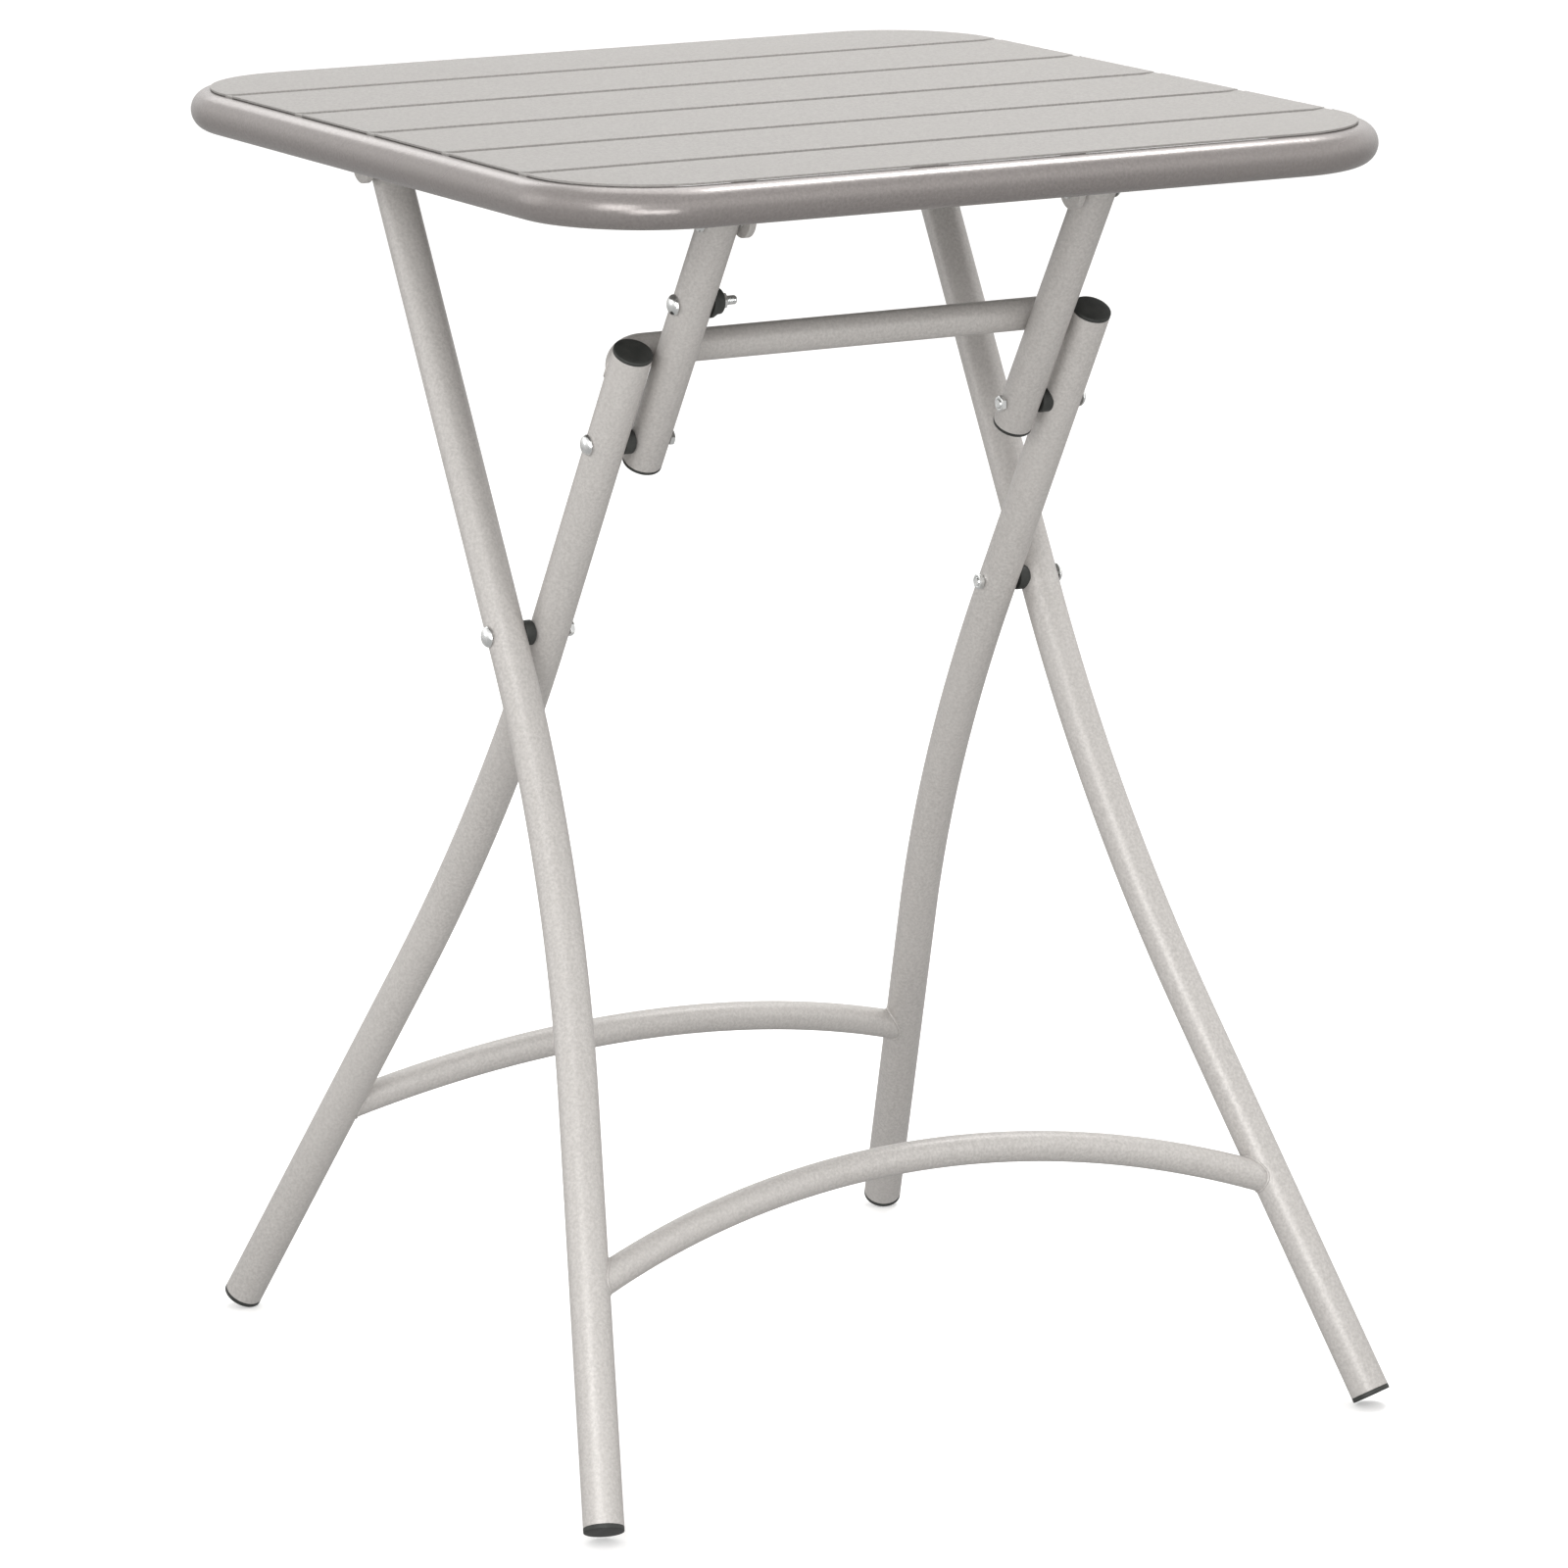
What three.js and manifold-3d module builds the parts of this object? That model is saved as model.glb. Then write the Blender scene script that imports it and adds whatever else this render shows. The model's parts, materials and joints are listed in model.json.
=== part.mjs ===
// Square folding balcony table in powder-coated steel tube, in millimetres.
// +Z is up, +X points to the front edge and +Y runs along the hinge pins.
// The origin is on the floor below the middle of the top, and the table stands open.
import * as THREE from 'three';
import { mergeVertices } from 'three/addons/utils/BufferGeometryUtils.js';
import Module from 'manifold-3d';

const wasm = await Module();
wasm.setup();

// Overall sizes
const tableHeight = 720;
const topLength = 520; // along X
const topWidth = 520; // along Y

// Top: pressed sheet over a tube rim
const rimDiameter = 22;
const rimWall = 1.5;
const rimCornerRadius = 78; // outside of the corner, seen from above
const panelThickness = 1.2;
const grooveCount = 5;
const groovePitch = 86.6;
const grooveWidth = 9;
const grooveFloor = 6.6; // flat width at the bottom of a groove
const grooveDepth = 1.6;
const grooveEndDepth = 0.7; // where a groove runs out over the rim
const ventDiameter = 5;

// Rails and ears under the top
const railWidth = 25;
const railHeight = 15;
const railWall = 1.5;
const earThickness = 4;
const earRadius = 10.6;
const hingeDrop = 38; // from the top surface down to the hinge pins
const rearHingeX = -134;
const earGap = 2; // between an ear and its tube, filled by a washer

// Legs, braces and links
const legDiameter = 22;
const legWall = 1.4;
const braceDiameter = 17;
const braceWall = 1.2;
const crossbarDiameter = 18;
const crossbarWall = 1.2;
const linkHalfWidth = 117.4; // from the middle of the table to a link's axis
const spacerThickness = 4.7; // between neighbouring tubes on one pivot
const crossPivotX = 2;
const crossPivotDrop = 281.4; // from the top surface down to the crossing pivots
const innerLean = THREE.MathUtils.degToRad(29.9975); // of the inner legs from upright, open
const kneeDistance = 132; // from the crossing pivot up to the knee pivot
const innerLegReach = 193.2; // from the crossing pivot up to the inner legs' ends
const bendStart = 8; // below the crossing pivot
const bendRadius = 1270;
const outerSplay = THREE.MathUtils.degToRad(11.5);
const innerSplay = THREE.MathUtils.degToRad(11.2);
const linkTilt = THREE.MathUtils.degToRad(0.9); // of the links against the inner legs, open
const braceRadius = 550;
const braceHeight = 157.94; // from the floor to the outer brace's highest point
const crossbarRise = 178.2; // from the crossing pivot, along the inner legs
const crossbarBend = 19.5; // radius of the crossbar's bent ends, on its axis
const hingeEndReach = 8; // from a hinge pin to the end of its tube
const kneeEndReach = 14.8; // from the knee pin to the lower end of a link

// Plugs, bolts and spacers
const plugFlange = 2;
const plugStem = 10;
const footFlange = 2.5;
const boltDiameter = 5;
const headDiameter = 11.6;
const headHeight = 3.2;
const nutAcrossFlats = 8;
const nutHeight = 2.7;
const boltTail = 0.5; // thread past the nut
const washerDiameter = 10;
const spacerDiameter = 14;
const spacerWrap = 1.8; // how far a saddle reaches over its tube
const stopRise = 94; // from the knee pin up to the stop bolt
const stopSaddleHeight = 5.6;
const stopSaddleBase = 17.4;
const stopTail = 6.5;

// Clearances
const gap = 0.3; // between touching pieces
const holeClearance = 0.25; // around a bolt
const pressClearance = 2; // between the end of a pressed groove and the rim

// Number of flat sides on the round pieces
const tubeSides = 16;
const braceSides = 14;
const boltSides = 12;
const legBendSteps = 5;
const braceSteps = 11;
const crossbarBendSteps = 5;
const braceEndPasses = 6; // rounds of fitting a brace's ends to its legs
const rimCornerSteps = 6;

// Sizes that follow from the ones above
const legRadius = legDiameter / 2;
const rimRadius = rimDiameter / 2;
const rimSteps = 4 * (rimCornerSteps + 1);
const pressAngle = Math.atan2(2 * grooveDepth, grooveWidth - grooveFloor); // of a groove's walls
const pressWidening = panelThickness * Math.tan(pressAngle / 2); // of its underside on each side
const crossbarRadius = crossbarDiameter / 2;
const boltRadius = boltDiameter / 2;
const holeRadius = boltRadius + holeClearance;
const innerHalfWidth = linkHalfWidth + legDiameter + spacerThickness;
const outerHalfWidth = innerHalfWidth + legDiameter + spacerThickness;
const panelBottom = tableHeight - panelThickness;
const rimHeight = panelBottom - gap - rimRadius;
const rimX = topLength / 2 - rimRadius;
const rimY = topWidth / 2 - rimRadius;
const railTop = panelBottom - gap;
const railBottom = railTop - railHeight;
const hingeHeight = tableHeight - hingeDrop;
const crossPivotHeight = tableHeight - crossPivotDrop;
const outerLean = Math.atan2(rearHingeX - crossPivotX, hingeHeight - crossPivotHeight);
const braceDrop = (crossPivotHeight - braceHeight) / Math.cos(outerLean); // for both braces
const outerHingeReach = Math.hypot(rearHingeX - crossPivotX, hingeHeight - crossPivotHeight);
const kneeX = crossPivotX + kneeDistance * Math.sin(innerLean);
const kneeHeight = crossPivotHeight + kneeDistance * Math.cos(innerLean);
const linkLean = innerLean + linkTilt;
const linkLength = (hingeHeight - kneeHeight) / Math.cos(linkLean);
const frontHingeX = kneeX + linkLength * Math.sin(linkLean);

const paint = { color: 0xc4c1bc, roughness: 0.55, metalness: 0.15 };
const zinc = { color: 0xd5d8d8, roughness: 0.22, metalness: 1 };
const blackPlastic = { color: 0x2c2e2c, roughness: 0.6, metalness: 0 };

const table = new THREE.Group();
const outerFrame = new THREE.Group();
outerFrame.position.set(crossPivotX, 0, crossPivotHeight);
outerFrame.rotation.y = outerLean;
const innerFrame = new THREE.Group();
innerFrame.position.set(crossPivotX, 0, crossPivotHeight);
innerFrame.rotation.y = innerLean;
const links = new THREE.Group();
links.position.set(kneeX, 0, kneeHeight);
links.rotation.y = linkLean;
table.add(outerFrame, innerFrame, links);

const sides = [['left', -1], ['right', 1]];

function addPiece(group, name, geometry, look) {
  const piece = new THREE.Mesh(geometry, new THREE.MeshStandardMaterial(look));
  piece.name = name;
  group.add(piece);
  return piece;
}

// Solids for joining and cutting
function solidOf(geometry) {
  const bare = geometry.index ? geometry.toNonIndexed() : geometry.clone();
  bare.deleteAttribute('normal');
  bare.deleteAttribute('uv');
  const merged = mergeVertices(bare, 1e-4);
  const mesh = new wasm.Mesh({
    numProp: 3,
    vertProperties: new Float32Array(merged.attributes.position.array),
    triVerts: new Uint32Array(merged.index.array),
  });
  return new wasm.Manifold(mesh);
}

function geometryOf(solid) {
  const mesh = solid.getMesh();
  const geometry = new THREE.BufferGeometry();
  geometry.setAttribute('position', new THREE.BufferAttribute(new Float32Array(mesh.vertProperties), 3));
  geometry.setIndex(new THREE.BufferAttribute(new Uint32Array(mesh.triVerts), 1));
  return geometry;
}

function cut(geometry, ...tools) {
  let solid = solidOf(geometry);
  for (const tool of tools) {
    solid = solid.subtract(solidOf(tool));
  }
  return geometryOf(solid);
}

// The axis of a bent tube, laid out run by run: a straight run is one step and a bend has its own
class TubeRun extends THREE.Curve {
  constructor(start, heading) {
    super();
    this.point = start.clone();
    this.heading = heading.clone().normalize();
    this.stations = [];
    this.mark();
  }

  mark() {
    this.stations.push({ point: this.point.clone(), heading: this.heading.clone() });
  }

  straight(length) {
    this.point.addScaledVector(this.heading, length);
    this.mark();
    return this;
  }

  // Turns to the left about the given axis, or to the right where the angle is negative
  bend(axis, angle, radius, steps) {
    const toCentre = new THREE.Vector3().crossVectors(axis, this.heading);
    const centre = this.point.clone().addScaledVector(toCentre, radius * Math.sign(angle));
    for (let i = 0; i < steps; i++) {
      this.point.sub(centre).applyAxisAngle(axis, angle / steps).add(centre);
      this.heading.applyAxisAngle(axis, angle / steps);
      this.mark();
    }
    return this;
  }

  get steps() {
    return this.stations.length - 1;
  }

  station(t) {
    return this.stations[Math.round(t * this.steps)];
  }

  getPoint(t, target = new THREE.Vector3()) {
    return target.copy(this.station(t).point);
  }

  getPointAt(t, target) {
    return this.getPoint(t, target);
  }

  getTangentAt(t, target = new THREE.Vector3()) {
    return target.copy(this.station(t).heading);
  }
}

// The rounded rectangle that the rim's axis follows, with its own share of steps for each corner
class RimPath extends THREE.Curve {
  constructor(halfX, halfY, radius, height) {
    super();
    this.corners = [[1, 1], [-1, 1], [-1, -1], [1, -1]].map(([sx, sy]) => [
      sx * (halfX - radius),
      sy * (halfY - radius),
    ]);
    this.radius = radius;
    this.height = height;
  }

  // Each quarter is one corner of rimCornerSteps steps and one straight step after it
  angleAndCorner(t) {
    const steps = rimCornerSteps + 1;
    const along = (t % 1) * 4 * steps;
    const quarter = Math.floor(along / steps + 1e-9) % 4;
    const turned = Math.min((along - quarter * steps) / rimCornerSteps, 1);
    return [(quarter + turned) * Math.PI / 2, this.corners[quarter]];
  }

  getPoint(t, target = new THREE.Vector3()) {
    const [angle, corner] = this.angleAndCorner(t);
    const x = corner[0] + this.radius * Math.cos(angle);
    const y = corner[1] + this.radius * Math.sin(angle);
    return target.set(x, y, this.height);
  }

  getPointAt(t, target) {
    return this.getPoint(t, target);
  }

  getTangentAt(t, target = new THREE.Vector3()) {
    const angle = this.angleAndCorner(t)[0];
    return target.set(-Math.sin(angle), Math.cos(angle), 0);
  }
}

function ringShape(outerRadius, wall, count) {
  const shape = circleShape(outerRadius, count);
  shape.holes.push(circleShape(outerRadius - wall, count));
  return shape;
}

function circleShape(radius, count) {
  const points = [];
  for (let i = 0; i < count; i++) {
    const angle = (i + 0.5) * 2 * Math.PI / count;
    points.push(new THREE.Vector2(radius * Math.cos(angle), radius * Math.sin(angle)));
  }
  return new THREE.Shape(points);
}

function tubeAlong(run, diameter, wall, count) {
  return new THREE.ExtrudeGeometry(ringShape(diameter / 2, wall, count), {
    extrudePath: run,
    steps: run.steps,
    bevelEnabled: false,
  });
}

// A round bar along Y, centred at the given place
function rodAlongY(radius, length, x, y, z, count = boltSides) {
  return new THREE.CylinderGeometry(radius, radius, length, count).translate(x, y, z);
}

// A bar whose flat sides lie outside the radius, to cut a clear seat for a round tube
function cutterAlong(radius, length, start, direction, count = 2 * tubeSides) {
  const outside = radius / Math.cos(Math.PI / count);
  const bar = new THREE.CylinderGeometry(outside, outside, length, count);
  const turn = new THREE.Quaternion().setFromUnitVectors(new THREE.Vector3(0, 1, 0), direction);
  return bar.applyQuaternion(turn).translate(start.x, start.y, start.z);
}

// Where a leg's end face is: its plug's lower edge just touches the floor
function legEnd(halfWidth, splay, lean) {
  const rise = Math.cos(splay) * Math.cos(lean);
  const faceHeight = legRadius * Math.sqrt(1 - rise * rise);
  const z = (faceHeight - crossPivotHeight) / Math.cos(lean);
  const arcY = halfWidth + bendRadius * (1 - Math.cos(splay));
  const arcZ = -bendStart - bendRadius * Math.sin(splay);
  return { y: arcY + (arcZ - z) * Math.tan(splay), z, arcY, arcZ };
}

// A leg's axis: straight down past the crossing, a long bend outwards, and straight to the foot plug
function legRun(halfWidth, reach, splay, lean, side) {
  const end = legEnd(halfWidth, splay, lean);
  const lower = (end.arcZ - end.z) / Math.cos(splay) - footFlange - gap;
  return new TubeRun(new THREE.Vector3(0, side * halfWidth, reach), new THREE.Vector3(0, 0, -1))
    .straight(reach + bendStart)
    .bend(new THREE.Vector3(1, 0, 0), side * splay, bendRadius, legBendSteps)
    .straight(lower);
}

function legGeometry(halfWidth, reach, splay, lean, side, pinHeights) {
  const tube = tubeAlong(legRun(halfWidth, reach, splay, lean, side), legDiameter, legWall, tubeSides);
  const holes = pinHeights.map((z) => rodAlongY(holeRadius, 2 * legDiameter, 0, side * halfWidth, z));
  return cut(tube, ...holes);
}

// A plug made along +Z: a flange level with the tube, and a stem inside it that points to -Z
function plugGeometry(flange, stem) {
  const stemRadius = (legRadius - legWall) * Math.cos(Math.PI / tubeSides) - gap;
  const profile = [
    new THREE.Vector2(0, -stem),
    new THREE.Vector2(stemRadius, -stem),
    new THREE.Vector2(stemRadius, 0),
    new THREE.Vector2(legRadius, 0),
    new THREE.Vector2(legRadius, flange * 0.7),
    new THREE.Vector2(legRadius - flange * 0.3, flange),
    new THREE.Vector2(0, flange),
  ];
  return new THREE.LatheGeometry(profile, tubeSides).rotateX(Math.PI / 2);
}

// A foot's flange stays sharp, so that its lowest point meets the floor
function footGeometry() {
  const stemRadius = (legRadius - legWall) * Math.cos(Math.PI / tubeSides) - gap;
  const profile = [
    new THREE.Vector2(0, -plugStem),
    new THREE.Vector2(stemRadius, -plugStem),
    new THREE.Vector2(stemRadius, 0),
    new THREE.Vector2(legRadius, 0),
    new THREE.Vector2(legRadius, footFlange),
    new THREE.Vector2(0, footFlange),
  ];
  return new THREE.LatheGeometry(profile, tubeSides);
}

// The foot plug sits square on the leg's end, with one corner of its rim straight down
function addFoot(group, name, halfWidth, splay, lean, side) {
  const end = legEnd(halfWidth, splay, lean);
  const along = new THREE.Vector3(0, side * Math.sin(splay), -Math.cos(splay));
  const down = new THREE.Vector3(Math.sin(lean), 0, -Math.cos(lean));
  const lowest = down.addScaledVector(along, -down.dot(along)).normalize();
  const third = new THREE.Vector3().crossVectors(along, lowest);
  const foot = addPiece(group, name, footGeometry(), blackPlastic);
  foot.quaternion.setFromRotationMatrix(new THREE.Matrix4().makeBasis(third, along, lowest));
  foot.position.set(0, side * end.y, end.z).addScaledVector(along, -footFlange);
}

// A leg's axis at a height below the crossing pivot, on its bend or on the straight run under it
function legAt(halfWidth, splay, z) {
  const end = legEnd(halfWidth, splay, 0);
  if (z < end.arcZ) {
    return { y: end.arcY + (end.arcZ - z) * Math.tan(splay), turn: splay };
  }
  const turn = Math.asin(Math.max(-bendStart - z, 0) / bendRadius);
  return { y: halfWidth + bendRadius * (1 - Math.cos(turn)), turn };
}

// An arched tube between the lower legs, coped to both of them
function braceGeometry(halfWidth, splay) {
  const centreZ = -braceDrop - braceRadius;
  let endZ = -braceDrop;
  let halfAngle = 0;
  for (let i = 0; i < braceEndPasses; i++) {
    halfAngle = Math.asin(legAt(halfWidth, splay, endZ).y / braceRadius);
    endZ = centreZ + braceRadius * Math.cos(halfAngle);
  }
  const start = new THREE.Vector3(0, braceRadius * Math.sin(halfAngle), endZ);
  const heading = new THREE.Vector3(0, -Math.cos(halfAngle), Math.sin(halfAngle));
  const arc = new TubeRun(start, heading);
  arc.bend(new THREE.Vector3(1, 0, 0), 2 * halfAngle, braceRadius, braceSteps);
  const tube = tubeAlong(arc, braceDiameter, braceWall, braceSides);
  const seats = sides.map(([, side]) => {
    const leg = legAt(halfWidth, splay, endZ);
    const middle = new THREE.Vector3(0, side * leg.y, endZ);
    const along = new THREE.Vector3(0, side * Math.sin(leg.turn), -Math.cos(leg.turn));
    return cutterAlong(legRadius + gap, 8 * braceDiameter, middle, along);
  });
  return cut(tube, ...seats);
}

// The crossbar runs behind the inner legs, and its ends turn forward and are coped to them
function crossbarGeometry() {
  const behind = legRadius + crossbarRadius + gap;
  const bend = Math.min(crossbarBend, behind);
  const vertical = new THREE.Vector3(0, 0, 1);
  const start = new THREE.Vector3(0, innerHalfWidth, crossbarRise);
  const run = new TubeRun(start, new THREE.Vector3(-1, 0, 0))
    .straight(behind - bend)
    .bend(vertical, Math.PI / 2, bend, crossbarBendSteps)
    .straight(2 * (innerHalfWidth - bend))
    .bend(vertical, Math.PI / 2, bend, crossbarBendSteps)
    .straight(behind - bend);
  const tube = tubeAlong(run, crossbarDiameter, crossbarWall, tubeSides);
  const seats = sides.map(([, side]) => {
    const middle = new THREE.Vector3(0, side * innerHalfWidth, crossbarRise);
    return cutterAlong(legRadius + gap, 4 * crossbarDiameter, middle, vertical);
  });
  return cut(tube, ...seats);
}

// A bolt along Y: domed head at y = 0 and above, shank towards -Y
function boltGeometry(shankLength) {
  const headRadius = headDiameter / 2;
  const profile = [new THREE.Vector2(0, -shankLength), new THREE.Vector2(boltRadius, -shankLength)];
  profile.push(new THREE.Vector2(boltRadius, 0), new THREE.Vector2(headRadius, 0));
  profile.push(new THREE.Vector2(headRadius, headHeight * 0.3));
  profile.push(new THREE.Vector2(headRadius * 0.8, headHeight * 0.75));
  profile.push(new THREE.Vector2(headRadius * 0.4, headHeight * 0.97));
  profile.push(new THREE.Vector2(0, headHeight));
  return new THREE.LatheGeometry(profile, boltSides);
}

function nutGeometry() {
  const shape = circleShape(nutAcrossFlats / 2 / Math.cos(Math.PI / 6), 6);
  shape.holes.push(circleShape(holeRadius, boltSides));
  const nut = new THREE.ExtrudeGeometry(shape, { depth: nutHeight, bevelEnabled: false });
  return nut.rotateX(-Math.PI / 2);
}

function washerGeometry(thickness) {
  const shape = ringShape(washerDiameter / 2, washerDiameter / 2 - holeRadius, boltSides);
  const washer = new THREE.ExtrudeGeometry(shape, { depth: thickness, bevelEnabled: false });
  return washer.rotateX(-Math.PI / 2);
}

// Places a piece made along Y so that its y = 0 is at the given distance from the middle,
// with its own +Y pointing outwards, or inwards for a nut
function place(piece, side, distance, z, outwards = true) {
  piece.position.set(0, side * distance, z);
  piece.rotation.z = (side > 0) === outwards ? 0 : Math.PI;
}

// A bolt through two neighbouring tubes: head outside the outer one, nut inside the inner one
function addPivotBolt(group, name, side, outerDistance, innerDistance, z) {
  const headFace = outerDistance + legRadius + gap;
  const nutFace = innerDistance - legRadius - gap;
  const tail = nutHeight + boltTail;
  const bolt = addPiece(group, `${name}_bolt_${side[0]}`, boltGeometry(headFace - nutFace + tail), zinc);
  place(bolt, side[1], headFace, z);
  const nut = addPiece(group, `${name}_nut_${side[0]}`, nutGeometry(), zinc);
  place(nut, side[1], nutFace, z, false);
}

// A plastic spacer between two tubes: a saddle over the outer tube and a flat face to the inner one
function addSpacer(group, name, side, outerDistance, z) {
  const flatFace = outerDistance - legRadius - spacerThickness + gap;
  const length = outerDistance - legRadius + spacerWrap - flatFace;
  const disc = rodAlongY(spacerDiameter / 2, length, 0, length / 2, 0, tubeSides);
  const tubeAxis = new THREE.Vector3(0, outerDistance - flatFace, 0);
  const seat = cutterAlong(legRadius + gap, 2 * legDiameter, tubeAxis, new THREE.Vector3(0, 0, 1));
  const hole = rodAlongY(holeRadius, 4 * length, 0, 0, 0);
  const spacer = addPiece(group, `${name}_spacer_${side[0]}`, cut(disc, seat, hole), blackPlastic);
  place(spacer, side[1], flatFace, z);
}

function addPanel() {
  const sheet = new THREE.ExtrudeGeometry(rimOutline(), {
    depth: panelThickness,
    bevelEnabled: false,
    curveSegments: rimCornerSteps,
  });
  sheet.translate(0, 0, panelBottom);
  let solid = solidOf(sheet);
  const cuts = [];
  for (let i = 0; i < grooveCount; i++) {
    const x = (i - (grooveCount - 1) / 2) * groovePitch;
    const length = pressedLength(x);
    const underside = grooveSection(grooveDepth, pressWidening, panelThickness / 2);
    solid = solid.add(solidOf(grooveBar(underside, length, x, panelBottom)));
    const deep = grooveSection(grooveDepth, 0, grooveDepth);
    const shallow = grooveSection(grooveEndDepth, 0, grooveDepth);
    cuts.push(grooveBar(deep, length - 2 * panelThickness, x, tableHeight));
    cuts.push(grooveBar(shallow, topWidth, x, tableHeight));
  }
  for (const tool of cuts) {
    solid = solid.subtract(solidOf(tool));
  }
  addPiece(table, 'top_panel', geometryOf(solid), paint);
}

// How long a groove is pressed to its full depth before its rib would meet the rim
function pressedLength(x) {
  const radius = rimCornerRadius - rimRadius;
  const intoCorner = Math.max(Math.abs(x) + grooveWidth / 2 + pressWidening - (rimX - radius), 0);
  const rimEdge = rimY - radius + Math.sqrt(radius ** 2 - intoCorner ** 2);
  const room = Math.sqrt(rimRadius ** 2 - (rimRadius - grooveDepth) ** 2);
  return 2 * (rimEdge - room - pressClearance);
}

// A groove's section: a flat floor at the given depth and two sloping walls that go on up to the rise
function grooveSection(depth, widening, rise) {
  const floor = grooveFloor / 2 + widening;
  const top = floor + (depth + rise) / Math.tan(pressAngle);
  const shape = new THREE.Shape();
  shape.moveTo(-floor, -depth);
  shape.lineTo(floor, -depth);
  shape.lineTo(top, rise);
  shape.lineTo(-top, rise);
  shape.closePath();
  return shape;
}

function grooveBar(section, length, x, z) {
  const bar = new THREE.ExtrudeGeometry(section, { depth: length, bevelEnabled: false });
  return bar.rotateX(Math.PI / 2).translate(x, length / 2, z);
}

// The rim's axis as an outline: the sheet ends on it, and the rails stay inside it
function rimOutline() {
  const radius = rimCornerRadius - rimRadius;
  const shape = new THREE.Shape();
  shape.absarc(rimX - radius, rimY - radius, radius, 0, Math.PI / 2, false);
  shape.absarc(radius - rimX, rimY - radius, radius, Math.PI / 2, Math.PI, false);
  shape.absarc(radius - rimX, radius - rimY, radius, Math.PI, 1.5 * Math.PI, false);
  shape.absarc(rimX - radius, radius - rimY, radius, 1.5 * Math.PI, 2 * Math.PI, false);
  return shape;
}

function rimPath() {
  return new RimPath(rimX, rimY, rimCornerRadius - rimRadius, rimHeight);
}

// A hollow ring with a vent at the middle of each side, underneath
function addRim() {
  const outside = new THREE.TubeGeometry(rimPath(), rimSteps, rimRadius, tubeSides, true);
  const inside = new THREE.TubeGeometry(rimPath(), rimSteps, rimRadius - rimWall, tubeSides, true);
  const vents = [[rimX, 0], [-rimX, 0], [0, rimY], [0, -rimY]].map(([x, y]) => {
    const vent = new THREE.CylinderGeometry(ventDiameter / 2, ventDiameter / 2, rimDiameter, boltSides);
    return vent.rotateX(Math.PI / 2).translate(x, y, rimHeight - rimRadius);
  });
  addPiece(table, 'rim_tube', cut(outside, inside, ...vents), paint);
}

// A box tube across the top, cut to the rim at both ends wherever it meets it
function addRail(name, x) {
  const shape = rectangle(railWidth, railHeight);
  shape.holes.push(rectangle(railWidth - 2 * railWall, railHeight - 2 * railWall));
  const rail = new THREE.ExtrudeGeometry(shape, { depth: 2 * rimY, bevelEnabled: false });
  rail.rotateX(Math.PI / 2).translate(x, rimY, (railTop + railBottom) / 2);
  const insideRim = new THREE.ExtrudeGeometry(rimOutline(), {
    depth: 4 * railHeight,
    bevelEnabled: false,
    curveSegments: rimCornerSteps,
  });
  insideRim.translate(0, 0, railBottom - railHeight);
  const clearRadius = (rimRadius + gap) / Math.cos(Math.PI / (2 * tubeSides));
  const ring = new THREE.TubeGeometry(rimPath(), rimSteps, clearRadius, 2 * tubeSides, true);
  const solid = solidOf(rail).intersect(solidOf(insideRim)).subtract(solidOf(ring));
  addPiece(table, name, geometryOf(solid), paint);
}

function rectangle(width, height) {
  const shape = new THREE.Shape();
  shape.moveTo(-width / 2, -height / 2);
  shape.lineTo(width / 2, -height / 2);
  shape.lineTo(width / 2, height / 2);
  shape.lineTo(-width / 2, height / 2);
  shape.closePath();
  return shape;
}

// A flat ear that hangs from its rail, with a round end about the hinge pin
function addEar(name, x, side, distance) {
  const shape = new THREE.Shape();
  shape.moveTo(earRadius, railBottom - gap - hingeHeight);
  shape.lineTo(-earRadius, railBottom - gap - hingeHeight);
  shape.absarc(0, 0, earRadius, Math.PI, 2 * Math.PI, false);
  shape.closePath();
  shape.holes.push(circleShape(holeRadius, boltSides));
  const plate = new THREE.ExtrudeGeometry(shape, { depth: earThickness, bevelEnabled: false });
  plate.rotateX(Math.PI / 2).translate(x, side * distance + earThickness / 2, hingeHeight);
  addPiece(table, name, plate, paint);
}

// The rear hinge: head, shank and washer belong to the ear; a stud and its nut belong to the leg
function addRearHinge(side) {
  const earFace = outerHalfWidth + legRadius + earGap;
  addEar(`rear_ear_${side[0]}`, rearHingeX, side[1], earFace + earThickness / 2);
  const headFace = earFace + earThickness + gap;
  const shankEnd = outerHalfWidth + legRadius + gap;
  const bolt = addPiece(table, `rear_hinge_bolt_${side[0]}`, boltGeometry(headFace - shankEnd), zinc);
  place(bolt, side[1], headFace, hingeHeight);
  bolt.position.x = rearHingeX;
  const washer = addPiece(table, `rear_hinge_washer_${side[0]}`, washerGeometry(earGap - 2 * gap), zinc);
  place(washer, side[1], earFace - earGap + gap, hingeHeight);
  washer.position.x = rearHingeX;
  const nutFace = outerHalfWidth - legRadius - gap;
  const studEnd = outerHalfWidth + legRadius - gap;
  const studLength = studEnd - nutFace + nutHeight + boltTail;
  const stud = rodAlongY(boltRadius, studLength, 0, -studLength / 2, 0);
  const pin = addPiece(outerFrame, `rear_hinge_stud_${side[0]}`, stud, zinc);
  place(pin, side[1], studEnd, outerHingeReach);
  const nut = addPiece(outerFrame, `rear_hinge_nut_${side[0]}`, nutGeometry(), zinc);
  place(nut, side[1], nutFace, outerHingeReach, false);
}

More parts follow.
